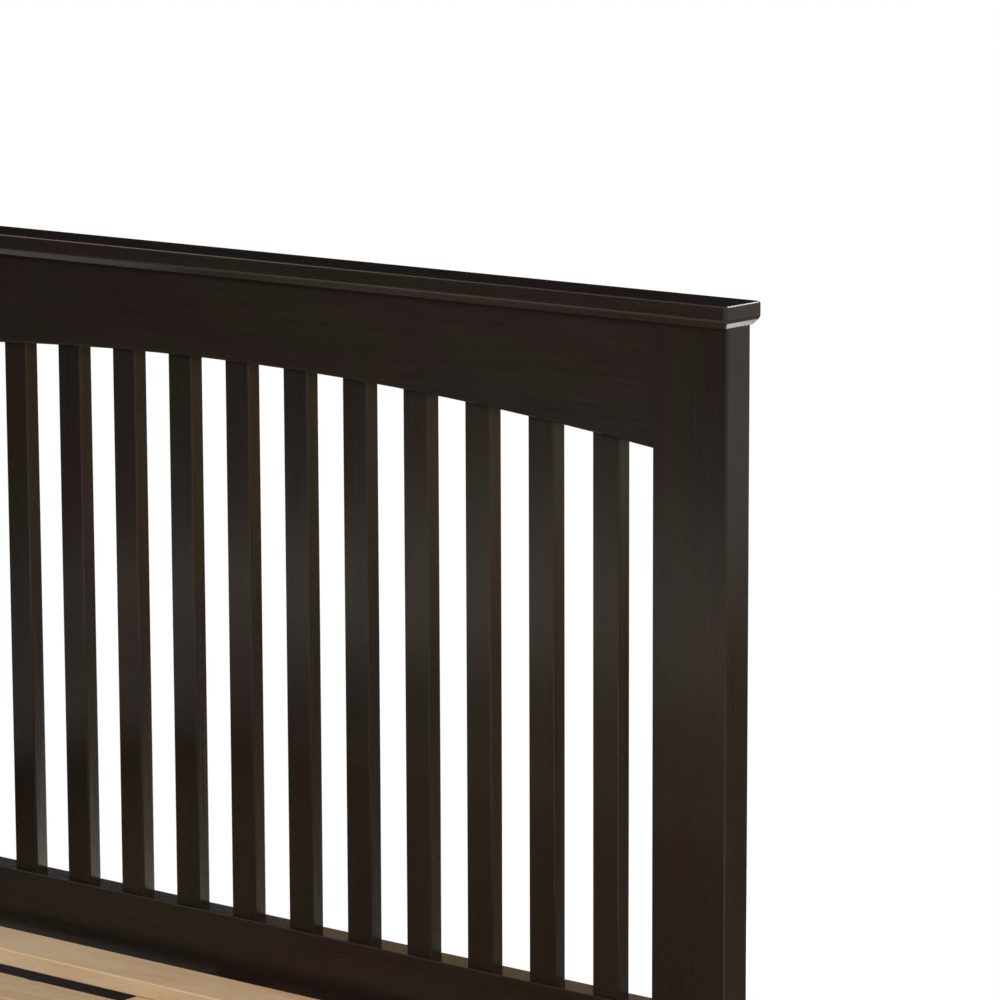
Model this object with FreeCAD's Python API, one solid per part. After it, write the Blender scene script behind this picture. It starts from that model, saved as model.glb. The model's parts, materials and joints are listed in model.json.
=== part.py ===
"""Full-size platform bed: arched slatted headboard, matching footboard, slatted deck, roll-out trundle.

Millimetres. The origin is on the floor under the middle of the bed, +X is the side the trundle rolls out
to, +Y points to the headboard and +Z is up.
"""
import FreeCAD
import Part
import math
import os

# Mattress and the room left around it inside the frame
MATTRESS_WIDTH = 1372.0
MATTRESS_LENGTH = 1905.0
MATTRESS_SIDE_GAP = 10.5
MATTRESS_END_GAP = 25.0

# Clear height between the two rails of each end, beside the posts
HEADBOARD_CLEAR = 594.0
FOOTBOARD_CLEAR = 94.0

# Posts
POST_WIDTH = 95.0
POST_THICK = 40.0
POST_EASE = 2.5

# Cap boards: plain face above, bevel below
CAP_FACE = 16.5
CAP_BEVEL_HEIGHT = 7.0
CAP_BEVEL_INSET = 5.5
CAP_OVERHANG = 11.0
CAP_END_OVERHANG = 6.0
CAP_CORNER = 4.0
CAP_EASE = 2.5
CAP_EASE_STEPS = 3
CAP_ARRIS = 2.0

# Rails of the headboard and footboard
END_RAIL_THICK = 34.0
TOP_RAIL_CENTRE = 94.0
TOP_RAIL_RISE = 38.5
RAIL_EASE = 2.0
TENON_LENGTH = 18.0
TENON_THICK = 12.0
TENON_SHOULDER = 15.0

# Upright slats of the headboard and footboard
SLAT_COUNT = 14
SLAT_WIDTH = 35.0
SLAT_THICK = 19.0
SLAT_EASE = 2.0
SLAT_HOUSING = 15.0

# Side rails
SIDE_RAIL_HEIGHT = 150.0
SIDE_RAIL_THICK = 22.0
SIDE_RAIL_INSET = 3.0

# Deck: cleats on the rails, cross slats, centre beam on saddles
MATTRESS_RECESS = 60.0
CLEAT_WIDTH = 25.0
CLEAT_HEIGHT = 30.0
CLEAT_END_GAP = 20.0
DECK_SLAT_COUNT = 14
DECK_SLAT_WIDTH = 70.0
DECK_SLAT_THICK = 19.0
DECK_SLAT_END_GAP = 2.0
DECK_FIRST_GAP = 30.0
DECK_EASE = 2.0
BEAM_WIDTH = 45.0
BEAM_HEIGHT = 62.0
SADDLE_PLATE = 2.5
SADDLE_DEPTH = 42.0
SADDLE_CHEEK = 40.0
SADDLE_FLANGE = 24.0
SADDLE_GAP = 0.3

# Knock-down bolts and barrel nuts of the side rails
BOLT_RADIUS = 3.0
BOLT_HEAD_RADIUS = 8.5
BOLT_HEAD_HEIGHT = 3.0
BOLT_SOCKET = 2.3
BOLT_SOCKET_DEPTH = 2.0
BOLT_COUNTERBORE = 4.0
BOLT_REACH = 46.0
BOLT_EDGE_DISTANCE = 32.0
BARREL_RADIUS = 5.0
BARREL_LENGTH = 14.0
BARREL_SETBACK = 36.0
BARREL_SLOT = 1.2

# Dowels, screws and glides
DOWEL_RADIUS = 4.0
RAIL_DOWEL_DEPTH = 18.0
CAP_DOWEL_DEPTH = 12.0
CAP_DOWEL_SHARES = (-0.6, 0.0, 0.6)
PANEL_DOWEL_DEPTH = 12.0
PANEL_DOWEL_SHARES = (0.45, 0.8)
SCREW_RADIUS = 2.0
SCREW_HEAD_RADIUS = 4.0
SCREW_HEAD_HEIGHT = 2.4
SCREW_BITE = 15.0
SCREW_SLOT = 0.9
SCREW_SLOT_DEPTH = 0.8
CLEAT_SCREWS = 6
CLEAT_SCREW_RISE = 7.0
GLIDE_RADIUS = 14.0
GLIDE_THICK = 5.0
GLIDE_EASE = 1.5
GLIDE_NAIL_RADIUS = 1.5
GLIDE_NAIL_LENGTH = 16.0

# Trundle box
TRUNDLE_MATTRESS_WIDTH = 991.0
TRUNDLE_MATTRESS_GAP = 2.5
TRUNDLE_END_PLAY = 7.0
TRUNDLE_PANEL = 19.0
TRUNDLE_END_PANEL = 16.0
TRUNDLE_FRONT_BOTTOM = 20.0
TRUNDLE_FRONT_HEIGHT = 268.0
TRUNDLE_TOP_GAP = 12.0
TRUNDLE_LOW_BOTTOM = 45.0
TRUNDLE_LOW_HEIGHT = 115.0
TRUNDLE_EASE = 3.0
GRIP_LENGTH = 120.0
GRIP_HEIGHT = 32.0
GRIP_DROP = 48.0
GRIP_PLACE_SHARE = 0.27

# Trundle deck
TRUNDLE_CLEAT = 25.0
CROSS_WIDTH = 64.0
CROSS_THICK = 22.0
TRUNDLE_SLAT_COUNT = 13
TRUNDLE_SLAT_WIDTH = 70.0
TRUNDLE_SLAT_THICK = 15.0
TRUNDLE_SLAT_END_GAP = 2.0
TRUNDLE_SLAT_FIRST_GAP = 12.0

# Casters
WHEEL_RADIUS = 25.0
WHEEL_WIDTH = 18.0
WHEEL_EASE = 3.0
HUB_RADIUS = 8.0
WHEEL_RIM = 6.0
WHEEL_DISH = 2.5
AXLE_RADIUS = 3.0
AXLE_HEAD_RADIUS = 5.0
AXLE_HEAD = 1.6
CASTER_PLATE_LENGTH = 64.0
CASTER_PLATE_WIDTH = 44.0
CASTER_STEEL = 2.5
CASTER_TOP_GAP = 5.5
CASTER_CHEEK_TOP = 17.0
CASTER_CHEEK_BOTTOM = 9.0
CASTER_SIDE_PLAY = 0.6
CASTER_INSET = 80.0
CASTER_SCREW_EDGE = 8.0

# Clearances: glued or screwed joints, running fits, and how far a cutting tool runs past a face
JOINT_GAP = 0.2
RUNNING_GAP = 0.05
OVERRUN = 1.0

# Largest sine between an edge and an axis that still counts as parallel
PARALLEL_SHARE = 0.000001

# Places worked out from the sizes above
bed_half = MATTRESS_WIDTH / 2 + MATTRESS_SIDE_GAP + SIDE_RAIL_THICK + SIDE_RAIL_INSET
post_inner = bed_half - POST_WIDTH
post_middle_x = bed_half - POST_WIDTH / 2
clear_half = MATTRESS_LENGTH / 2 + MATTRESS_END_GAP
end_middle = clear_half + POST_THICK / 2
end_rail_face = end_middle - END_RAIL_THICK / 2
cap_thick = CAP_FACE + CAP_BEVEL_HEIGHT
rail_outer = bed_half - SIDE_RAIL_INSET
rail_inner = rail_outer - SIDE_RAIL_THICK
rail_middle = (rail_outer + rail_inner) / 2
trundle_front_top = TRUNDLE_FRONT_BOTTOM + TRUNDLE_FRONT_HEIGHT
rail_bottom = trundle_front_top + TRUNDLE_TOP_GAP
rail_top = rail_bottom + SIDE_RAIL_HEIGHT
end_heading = TOP_RAIL_CENTRE + TOP_RAIL_RISE + cap_thick
headboard_top = rail_top + HEADBOARD_CLEAR + end_heading
footboard_top = rail_top + FOOTBOARD_CLEAR + end_heading
deck_top = rail_top - MATTRESS_RECESS
deck_bottom = deck_top - DECK_SLAT_THICK
bolt_heights = (rail_bottom + BOLT_EDGE_DISTANCE, rail_top - BOLT_EDGE_DISTANCE)
bolt_seat = clear_half + POST_THICK - BOLT_COUNTERBORE
cleat_inner = rail_inner - CLEAT_WIDTH
cleat_middle = rail_inner - CLEAT_WIDTH / 2

slat_gap = (2 * post_inner - SLAT_COUNT * SLAT_WIDTH) / (SLAT_COUNT + 1)
slat_pitch = slat_gap + SLAT_WIDTH
slat_places = [(i - (SLAT_COUNT - 1) / 2) * slat_pitch for i in range(SLAT_COUNT)]
arch_radius = (post_inner ** 2 + TOP_RAIL_RISE ** 2) / (2 * TOP_RAIL_RISE)

trundle_front_outer = rail_outer
trundle_front_inner = trundle_front_outer - TRUNDLE_PANEL
trundle_back_inner = trundle_front_inner - TRUNDLE_MATTRESS_WIDTH - 2 * TRUNDLE_MATTRESS_GAP
trundle_back_outer = trundle_back_inner - TRUNDLE_PANEL
trundle_half = clear_half - TRUNDLE_END_PLAY
trundle_end_inner = trundle_half - TRUNDLE_END_PANEL
trundle_low_top = TRUNDLE_LOW_BOTTOM + TRUNDLE_LOW_HEIGHT
grip_height = trundle_front_top - GRIP_DROP
caster_height = 2 * WHEEL_RADIUS + CASTER_TOP_GAP + CASTER_STEEL
trundle_deck_bottom = caster_height + CROSS_THICK
caster_places_x = (trundle_front_inner - CASTER_INSET, trundle_back_inner + CASTER_INSET)
cross_places_y = (trundle_end_inner - CROSS_WIDTH / 2, 0.0, CROSS_WIDTH / 2 - trundle_end_inner)

AXES = {"x": FreeCAD.Vector(1, 0, 0), "y": FreeCAD.Vector(0, 1, 0), "z": FreeCAD.Vector(0, 0, 1)}


def block(x_range, y_range, z_range):
    """Box between the limits given for each axis, in either order."""
    (x0, x1), (y0, y1), (z0, z1) = (sorted(limits) for limits in (x_range, y_range, z_range))
    return Part.makeBox(x1 - x0, y1 - y0, z1 - z0, FreeCAD.Vector(x0, y0, z0))


def around(middle, length):
    """Limits of a length centred on a place."""
    return (middle - length / 2, middle + length / 2)


def rod(radius, start, direction, length):
    """Cylinder from a start point along a direction."""
    return Part.makeCylinder(radius, length, FreeCAD.Vector(*start), direction)


def spread(count, first, last):
    """Evenly spaced places from first to last."""
    return [first + (last - first) * i / (count - 1) for i in range(count)]


def carve(solid, tools):
    """The solid with every tool cut out of it."""
    return solid.cut(tools).Solids[0]


def join(pieces):
    """Pieces that are one body in the real object."""
    return pieces[0].fuse(pieces[1:]).removeSplitter().Solids[0]


def eased(solid, radius, axis):
    """The solid with its straight edges along one axis rounded."""
    edges = []
    for edge in solid.Edges:
        askew = edge.tangentAt(edge.FirstParameter).cross(AXES[axis]).Length
        if isinstance(edge.Curve, Part.Line) and askew < PARALLEL_SHARE:
            edges.append(edge)
    return solid.makeFillet(radius, edges)


def board(x_range, y_range, z_range, ease, axis):
    """Plank with the edges along its length rounded."""
    return eased(block(x_range, y_range, z_range), ease, axis)


def arch_height(x, rail_top_height):
    """Height of the top rail's arched lower edge at a place across the bed."""
    apex = rail_top_height - TOP_RAIL_CENTRE
    return apex - arch_radius + math.sqrt(arch_radius ** 2 - x ** 2)


def rounded_rectangle(half_x, half_y, radius, middle_y, z):
    """Closed outline of a rectangle with arc corners, level at height z."""
    outline = []
    corners = ((1, 1), (-1, 1), (-1, -1), (1, -1))
    quarter = math.pi / 2
    for turn, (side_x, side_y) in enumerate(corners):
        centre = FreeCAD.Vector(side_x * (half_x - radius), middle_y + side_y * (half_y - radius), z)
        for step in range(3):
            angle = turn * quarter + step * quarter / 2
            outline.append(centre + FreeCAD.Vector(math.cos(angle), math.sin(angle), 0) * radius)
    edges = []
    for turn in range(len(corners)):
        first, middle, last = outline[3 * turn:3 * turn + 3]
        after = outline[(3 * turn + 3) % len(outline)]
        edges.append(Part.Arc(first, middle, last).toShape())
        edges.append(Part.makeLine(last, after))
    return Part.Wire(edges)


def dowel(middle, direction, depth):
    """Dowel reaching the same depth into both pieces."""
    start = FreeCAD.Vector(*middle) - direction * depth
    return rod(DOWEL_RADIUS, start, direction, 2 * depth)


def dowel_hole(middle, direction, depth):
    """Hole for such a dowel, with a little room all round."""
    reach = depth + JOINT_GAP
    start = FreeCAD.Vector(*middle) - direction * reach
    return rod(DOWEL_RADIUS + JOINT_GAP, start, direction, 2 * reach)


def flat_screw(seat, direction, length):
    """Countersunk screw whose head is flush with the seat."""
    start = FreeCAD.Vector(*seat)
    head = Part.makeCone(SCREW_HEAD_RADIUS, SCREW_RADIUS, SCREW_HEAD_HEIGHT, start, direction)
    return slotted(join([head, rod(SCREW_RADIUS, start, direction, length)]), start, direction)


def flat_screw_hole(seat, direction, length):
    """Countersunk hole for that screw."""
    start = FreeCAD.Vector(*seat)
    wide = SCREW_HEAD_RADIUS + JOINT_GAP
    narrow = SCREW_RADIUS + JOINT_GAP
    head = Part.makeCone(wide, narrow, SCREW_HEAD_HEIGHT, start, direction)
    return head.fuse(rod(narrow, start, direction, length + JOINT_GAP))


def pan_screw(seat, direction, length):
    """Screw with a raised head standing on the seat."""
    start = FreeCAD.Vector(*seat)
    crown = start - direction * SCREW_HEAD_HEIGHT
    head = Part.makeCone(SCREW_RADIUS + SCREW_HEAD_HEIGHT / 2, SCREW_HEAD_RADIUS, SCREW_HEAD_HEIGHT,
                         crown, direction)
    return slotted(join([head, rod(SCREW_RADIUS, start, direction, length)]), crown, direction)


def pan_screw_hole(seat, direction, length):
    """Straight hole for that screw."""
    start = FreeCAD.Vector(*seat)
    return rod(SCREW_RADIUS + JOINT_GAP, start, direction, length + JOINT_GAP)


def slotted(screw, crown, direction):
    """The screw with a cross recess in its head."""
    across = AXES["x"] if abs(direction.x) < abs(direction.z) + abs(direction.y) else AXES["y"]
    other = direction.cross(across)
    tools = []
    for long_way, short_way in ((across, other), (other, across)):
        corner = crown - long_way * SCREW_RADIUS - short_way * (SCREW_SLOT / 2) - direction * OVERRUN
        face = Part.makePolygon([corner, corner + long_way * (2 * SCREW_RADIUS),
                                 corner + long_way * (2 * SCREW_RADIUS) + short_way * SCREW_SLOT,
                                 corner + short_way * SCREW_SLOT, corner])
        tools.append(Part.Face(face).extrude(direction * (OVERRUN + SCREW_SLOT_DEPTH)))
    return carve(screw, tools)


def end_rail_tenon(side, end, z_range):
    """Tenon on one end of a headboard or footboard rail."""
    x_range = (side * post_inner, side * (post_inner + TENON_LENGTH))
    return block(x_range, around(end * end_middle, TENON_THICK), z_range)


def end_rail_mortise(side, end, z_range):
    """Mortise in the post for that tenon."""
    x_range = (side * (post_inner - OVERRUN), side * (post_inner + TENON_LENGTH + JOINT_GAP))
    y_range = around(end * end_middle, TENON_THICK + 2 * JOINT_GAP)
    return block(x_range, y_range, (z_range[0] - JOINT_GAP, z_range[1] + JOINT_GAP))


def tenon_heights(end_top):
    """Heights of the tenons of the top and bottom rails of one end."""
    under = end_top - cap_thick
    top = (arch_height(post_inner, under) + TENON_SHOULDER, under - TENON_SHOULDER)
    bottom = (rail_bottom + TENON_SHOULDER, rail_top - TENON_SHOULDER)
    return top, bottom


def post(side, end, end_top):
    """One corner post with its mortises, bolt, dowel and glide holes."""
    under = end_top - cap_thick
    x_range = (side * post_inner, side * bed_half)
    y_range = (end * clear_half, end * (clear_half + POST_THICK))
    solid = board(x_range, y_range, (GLIDE_THICK, under), POST_EASE, "z")
    outward = AXES["y"] * end
    tools = [end_rail_mortise(side, end, heights) for heights in tenon_heights(end_top)]
    for z in bolt_heights:
        place = (side * rail_middle, end * (clear_half - OVERRUN), z)
        tools.append(rod(BOLT_RADIUS + JOINT_GAP, place, outward, POST_THICK + 2 * OVERRUN))
        seat = (side * rail_middle, end * bolt_seat, z)
        tools.append(rod(BOLT_HEAD_RADIUS + JOINT_GAP, seat, outward, BOLT_COUNTERBORE + OVERRUN))
    tools.append(dowel_hole(rail_dowel_place(side, end), AXES["y"], RAIL_DOWEL_DEPTH))
    tools.append(dowel_hole((side * post_middle_x, end * end_middle, under), AXES["z"], CAP_DOWEL_DEPTH))
    nail = (side * post_middle_x, end * end_middle, 0)
    tools.append(rod(GLIDE_NAIL_RADIUS + JOINT_GAP, nail, AXES["z"], GLIDE_NAIL_LENGTH + JOINT_GAP))
    return carve(solid, tools)


def cap_dowel_places(end, end_top):
    """Dowels under one cap: one in each post and a row in the top rail."""
    across = [share * post_inner for share in CAP_DOWEL_SHARES] + [-post_middle_x, post_middle_x]
    return [(x, end * end_middle, end_top - cap_thick) for x in across]


def cap_arris(under):
    """Heights and insets of the softened corner between the cap's bevel and its face."""
    share = CAP_ARRIS / math.hypot(CAP_BEVEL_HEIGHT, CAP_BEVEL_INSET)
    corner = under + CAP_BEVEL_HEIGHT
    start = (corner - share * CAP_BEVEL_HEIGHT, share * CAP_BEVEL_INSET)
    last = (corner + CAP_ARRIS, 0)
    middle = ((start[0] + 2 * corner + last[0]) / 4, start[1] / 4)
    return [start, middle, last]


def cap(end, end_top):
    """Cap board: bevelled below, plain face, rounded top edge."""
    under = end_top - cap_thick
    half_x = bed_half + CAP_END_OVERHANG
    half_y = POST_THICK / 2 + CAP_OVERHANG
    sections = [(under, CAP_BEVEL_INSET)] + cap_arris(under)
    for step in range(CAP_EASE_STEPS + 1):
        angle = math.pi / 2 * step / CAP_EASE_STEPS
        height = end_top - CAP_EASE + CAP_EASE * math.sin(angle)
        sections.append((height, CAP_EASE - CAP_EASE * math.cos(angle)))
    wires = [rounded_rectangle(half_x - inset, half_y - inset, CAP_CORNER, end * end_middle, z)
             for z, inset in sections]
    solid = Part.makeLoft(wires, True, True)
    return carve(solid, [dowel_hole(place, AXES["z"], CAP_DOWEL_DEPTH)
                         for place in cap_dowel_places(end, end_top)])


def slat_limits(x, end_top):
    """Bottom and top of one upright slat, housed in both rails."""
    return rail_top - SLAT_HOUSING, arch_height(x, end_top - cap_thick) + SLAT_HOUSING


def slat_housings(end, end_top):
    """Housings for the upright slats in both rails."""
    tools = []
    y_range = around(end * end_middle, SLAT_THICK + 2 * JOINT_GAP)
    for x in slat_places:
        low, high = slat_limits(x, end_top)
        tools.append(block(around(x, SLAT_WIDTH + 2 * JOINT_GAP), y_range, (low, high + JOINT_GAP)))
    return tools


def top_rail(end, end_top):
    """Rail under the cap, arched below, with a tenon on each end."""
    under = end_top - cap_thick
    front = end * end_middle - END_RAIL_THICK / 2
    low = arch_height(post_inner, under)
    left_low, left_high, right_high, right_low, apex = (
        FreeCAD.Vector(x, front, z) for x, z in (
            (-post_inner, low), (-post_inner, under), (post_inner, under), (post_inner, low),
            (0, under - TOP_RAIL_CENTRE)))
    outline = [Part.makeLine(left_low, left_high), Part.makeLine(left_high, right_high),
               Part.makeLine(right_high, right_low), Part.Arc(right_low, apex, left_low).toShape()]
    solid = Part.Face(Part.Wire(outline)).extrude(AXES["y"] * END_RAIL_THICK)
    arches = [edge for edge in solid.Edges if isinstance(edge.Curve, Part.Circle)]
    solid = solid.makeChamfer(RAIL_EASE, arches)
    heights = tenon_heights(end_top)[0]
    solid = join([solid] + [end_rail_tenon(side, end, heights) for side in (-1, 1)])
    tools = slat_housings(end, end_top)
    tools += [dowel_hole(place, AXES["z"], CAP_DOWEL_DEPTH) for place in cap_dowel_places(end, end_top)]
    return carve(solid, tools)


def bottom_rail(end, end_top):
    """Lower rail of one end, level with the side rails."""
    y_range = around(end * end_middle, END_RAIL_THICK)
    solid = board((-post_inner, post_inner), y_range, (rail_bottom, rail_top), RAIL_EASE, "x")
    heights = tenon_heights(end_top)[1]
    solid = join([solid] + [end_rail_tenon(side, end, heights) for side in (-1, 1)])
    holes = [pan_screw_hole(place, AXES["y"] * end, SCREW_BITE + SADDLE_PLATE)
             for place in saddle_screw_places(end)]
    return carve(solid, slat_housings(end, end_top) + holes)


def upright_slat(x, end, end_top):
    """One upright slat."""
    y_range = around(end * end_middle, SLAT_THICK)
    return board(around(x, SLAT_WIDTH), y_range, slat_limits(x, end_top), SLAT_EASE, "z")


def rail_dowel_place(side, end):
    """Middle of the locating dowel between a side rail and a post."""
    return (side * rail_middle, end * clear_half, rail_bottom + SIDE_RAIL_HEIGHT / 2)


def cleat_screw_places(side):
    """Heads of the screws through one cleat into its rail."""
    reach = clear_half - CLEAT_END_GAP - BARREL_SETBACK - CLEAT_WIDTH
    height = deck_bottom - CLEAT_HEIGHT + CLEAT_SCREW_RISE
    return [(side * cleat_inner, y, height) for y in spread(CLEAT_SCREWS, -reach, reach)]


def side_rail(side):
    """Side rail with bolt, barrel nut and dowel holes at both ends."""
    solid = board((side * rail_inner, side * rail_outer), (-clear_half, clear_half),
                  (rail_bottom, rail_top), RAIL_EASE, "y")
    tools = []
    for end in (-1, 1):
        for z in bolt_heights:
            start = (side * rail_middle, end * (clear_half + OVERRUN), z)
            tools.append(rod(BOLT_RADIUS + JOINT_GAP, start, AXES["y"] * -end, BOLT_REACH + 2 * OVERRUN))
            tools.append(barrel_hole(side, end, z))
        tools.append(dowel_hole(rail_dowel_place(side, end), AXES["y"], RAIL_DOWEL_DEPTH))
    outward = AXES["x"] * side
    tools += [pan_screw_hole(place, outward, CLEAT_WIDTH + SCREW_BITE) for place in cleat_screw_places(side)]
    return carve(solid, tools)


def barrel_hole(side, end, z):
    """Blind cross hole in the rail's inner face for one barrel nut."""
    start = (side * (rail_inner - OVERRUN), end * (clear_half - BARREL_SETBACK), z)
    depth = SIDE_RAIL_THICK / 2 + BARREL_LENGTH / 2 + OVERRUN
    return rod(BARREL_RADIUS + JOINT_GAP, start, AXES["x"] * side, depth)


def barrel_nut(side, end, z):
    """Barrel nut with its cross bore and a driver slot."""
    y = end * (clear_half - BARREL_SETBACK)
    inner = rail_middle - BARREL_LENGTH / 2
    solid = rod(BARREL_RADIUS, (side * inner, y, z), AXES["x"] * side, BARREL_LENGTH)
    bore_start = (side * rail_middle, y - BARREL_RADIUS - OVERRUN, z)
    bore = rod(BOLT_RADIUS + RUNNING_GAP, bore_start, AXES["y"], 2 * BARREL_RADIUS + 2 * OVERRUN)
    slot = block((side * (inner - OVERRUN), side * (inner + BARREL_SLOT)),
                 around(y, 2 * BARREL_RADIUS + OVERRUN), around(z, BARREL_SLOT))
    return carve(solid, [bore, slot])


def rail_bolt(side, end, z):
    """Wide flat-headed bolt with a hexagon socket."""
    outward = AXES["y"] * end
    seat = FreeCAD.Vector(side * rail_middle, end * bolt_seat, z)
    length = bolt_seat - clear_half + BOLT_REACH
    shank = rod(BOLT_RADIUS, seat, -outward, length)
    head = rod(BOLT_HEAD_RADIUS, seat, outward, BOLT_HEAD_HEIGHT)
    crown = seat + outward * (BOLT_HEAD_HEIGHT - BOLT_SOCKET_DEPTH)
    corners = []
    for turn in range(7):
        angle = turn * math.pi / 3
        corners.append(crown + FreeCAD.Vector(math.cos(angle), 0, math.sin(angle)) * BOLT_SOCKET)
    socket = Part.Face(Part.makePolygon(corners)).extrude(outward * (BOLT_SOCKET_DEPTH + OVERRUN))
    return carve(join([head, shank]), [socket])


def deck_slat_places():
    """Places of the deck slats along the bed."""
    reach = clear_half - DECK_FIRST_GAP - DECK_SLAT_WIDTH / 2
    return spread(DECK_SLAT_COUNT, -reach, reach)


def deck_screw_places():
    """Screws that hold the deck slats to the cleats."""
    return [(side * cleat_middle, y, deck_top) for y in deck_slat_places() for side in (-1, 1)]


def deck_slat(y):
    """One cross slat of the platform."""
    half = rail_inner - DECK_SLAT_END_GAP
    solid = board((-half, half), around(y, DECK_SLAT_WIDTH), (deck_bottom, deck_top), DECK_EASE, "x")
    tools = [flat_screw_hole((side * cleat_middle, y, deck_top), -AXES["z"], DECK_SLAT_THICK + SCREW_BITE)
             for side in (-1, 1)]
    return carve(solid, tools)


def deck_cleat(side):
    """Ledger strip on one side rail."""
    half = clear_half - CLEAT_END_GAP
    solid = board((side * cleat_inner, side * rail_inner), (-half, half),
                  (deck_bottom - CLEAT_HEIGHT, deck_bottom), DECK_EASE, "y")
    tools = [flat_screw_hole(place, -AXES["z"], DECK_SLAT_THICK + SCREW_BITE)
             for place in deck_screw_places()]
    tools += [pan_screw_hole(place, AXES["x"] * side, CLEAT_WIDTH + SCREW_BITE)
              for place in cleat_screw_places(side)]
    return carve(solid, tools)


def centre_beam():
    """Beam under the middle of the deck, without legs so that the trundle passes."""
    half = end_rail_face - SADDLE_PLATE - SADDLE_GAP
    z_range = (deck_bottom - BEAM_HEIGHT, deck_bottom)
    return board(around(0, BEAM_WIDTH), (-half, half), z_range, DECK_EASE, "y")


def saddle_screw_places(end):
    """Screws of one saddle, two on each flange."""
    across = BEAM_WIDTH / 2 + SADDLE_GAP + SADDLE_PLATE + SADDLE_FLANGE / 2
    low = deck_bottom - BEAM_HEIGHT
    heights = (low + SADDLE_FLANGE / 2, low + SADDLE_CHEEK - SADDLE_FLANGE / 2)
    return [(side * across, end * (end_rail_face - SADDLE_PLATE), z) for side in (-1, 1) for z in heights]


def beam_saddle(end):
    """Steel saddle on the end rail: shelf, two cheeks and a flanged back plate."""
    low = deck_bottom - BEAM_HEIGHT
    back = end_rail_face - SADDLE_PLATE
    inner = BEAM_WIDTH / 2 + SADDLE_GAP
    outer = inner + SADDLE_PLATE
    z_range = (low - SADDLE_PLATE, low + SADDLE_CHEEK)
    plate = block(around(0, 2 * (outer + SADDLE_FLANGE)), (end * back, end * end_rail_face), z_range)
    depth = (end * (back - SADDLE_DEPTH), end * back)
    shelf = block(around(0, 2 * outer), depth, (low - SADDLE_PLATE, low))
    cheeks = [block((side * inner, side * outer), depth, z_range) for side in (-1, 1)]
    holes = [pan_screw_hole(place, AXES["y"] * end, SADDLE_PLATE) for place in saddle_screw_places(end)]
    return carve(join([plate, shelf] + cheeks), holes)


def foot_glide(side, end):
    """Nail-on glide under a post."""
    middle = (side * post_middle_x, end * end_middle, 0)
    disc = rod(GLIDE_RADIUS, middle, AXES["z"], GLIDE_THICK)
    rim = [edge for edge in disc.Edges
           if isinstance(edge.Curve, Part.Circle) and edge.CenterOfMass.z < GLIDE_EASE]
    nail = rod(GLIDE_NAIL_RADIUS, middle, AXES["z"], GLIDE_NAIL_LENGTH)
    return join([disc.makeFillet(GLIDE_EASE, rim), nail])


def panel_dowel_places():
    """Dowels in the four corners of the trundle box."""
    heights = [TRUNDLE_LOW_BOTTOM + share * TRUNDLE_LOW_HEIGHT for share in PANEL_DOWEL_SHARES]
    y = trundle_half - TRUNDLE_END_PANEL / 2
    inner_faces = (trundle_front_inner, trundle_back_inner)
    return [(x, end * y, z) for x in inner_faces for end in (-1, 1) for z in heights]


def with_panel_dowels(solid):
    """A trundle panel with the dowel holes that reach into it."""
    return carve(solid, [dowel_hole(place, AXES["x"], PANEL_DOWEL_DEPTH) for place in panel_dowel_places()])


def hand_grip(y):
    """Slot with round ends through the trundle front."""
    radius = GRIP_HEIGHT / 2
    straight = GRIP_LENGTH - GRIP_HEIGHT
    x_range = (trundle_front_inner - OVERRUN, trundle_front_outer + OVERRUN)
    through = TRUNDLE_PANEL + 2 * OVERRUN
    ends = [rod(radius, (x_range[0], place, grip_height), AXES["x"], through)
            for place in around(y, straight)]
    return block(x_range, around(y, straight), around(grip_height, GRIP_HEIGHT)).fuse(ends)


def trundle_front():
    """Front panel: closes the space under the side rail, with two hand grips."""
    z_range = (TRUNDLE_FRONT_BOTTOM, trundle_front_top)
    x_range = (trundle_front_inner, trundle_front_outer)
    solid = block(x_range, (-trundle_half, trundle_half), z_range)
    solid = solid.makeFillet(TRUNDLE_EASE, solid.Edges)
    grips = [hand_grip(end * GRIP_PLACE_SHARE * 2 * trundle_half) for end in (-1, 1)]
    solid = carve(solid, grips)
    rims = [edge for edge in solid.Edges if edge.BoundBox.XLength < JOINT_GAP
            and abs(edge.CenterOfMass.z - grip_height) < GRIP_HEIGHT / 2 + JOINT_GAP]
    return with_panel_dowels(solid.makeFillet(TRUNDLE_EASE, rims))


def trundle_back():
    """Low panel at the back of the trundle."""
    return with_panel_dowels(board((trundle_back_outer, trundle_back_inner), (-trundle_half, trundle_half),
                                   (TRUNDLE_LOW_BOTTOM, trundle_low_top), TRUNDLE_EASE, "y"))


def trundle_end(end):
    """Low panel at the head or foot end of the trundle."""
    x_range = (trundle_back_inner, trundle_front_inner)
    y_range = (end * trundle_end_inner, end * trundle_half)
    return with_panel_dowels(board(x_range, y_range, (TRUNDLE_LOW_BOTTOM, trundle_low_top),
                                   TRUNDLE_EASE, "x"))


def trundle_slat_places():
    """Places of the trundle's slats along the bed."""
    reach = trundle_end_inner - TRUNDLE_SLAT_FIRST_GAP - TRUNDLE_SLAT_WIDTH / 2
    return spread(TRUNDLE_SLAT_COUNT, -reach, reach)


def trundle_screw_places():
    """Screws that hold the trundle's slats to its cleats."""
    top = trundle_deck_bottom + TRUNDLE_SLAT_THICK
    rows = (trundle_front_inner - TRUNDLE_CLEAT / 2, trundle_back_inner + TRUNDLE_CLEAT / 2)
    return [(x, y, top) for y in trundle_slat_places() for x in rows]


def trundle_screw_holes():
    """Holes for those screws."""
    return [flat_screw_hole(place, -AXES["z"], TRUNDLE_SLAT_THICK + SCREW_BITE)
            for place in trundle_screw_places()]


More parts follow.
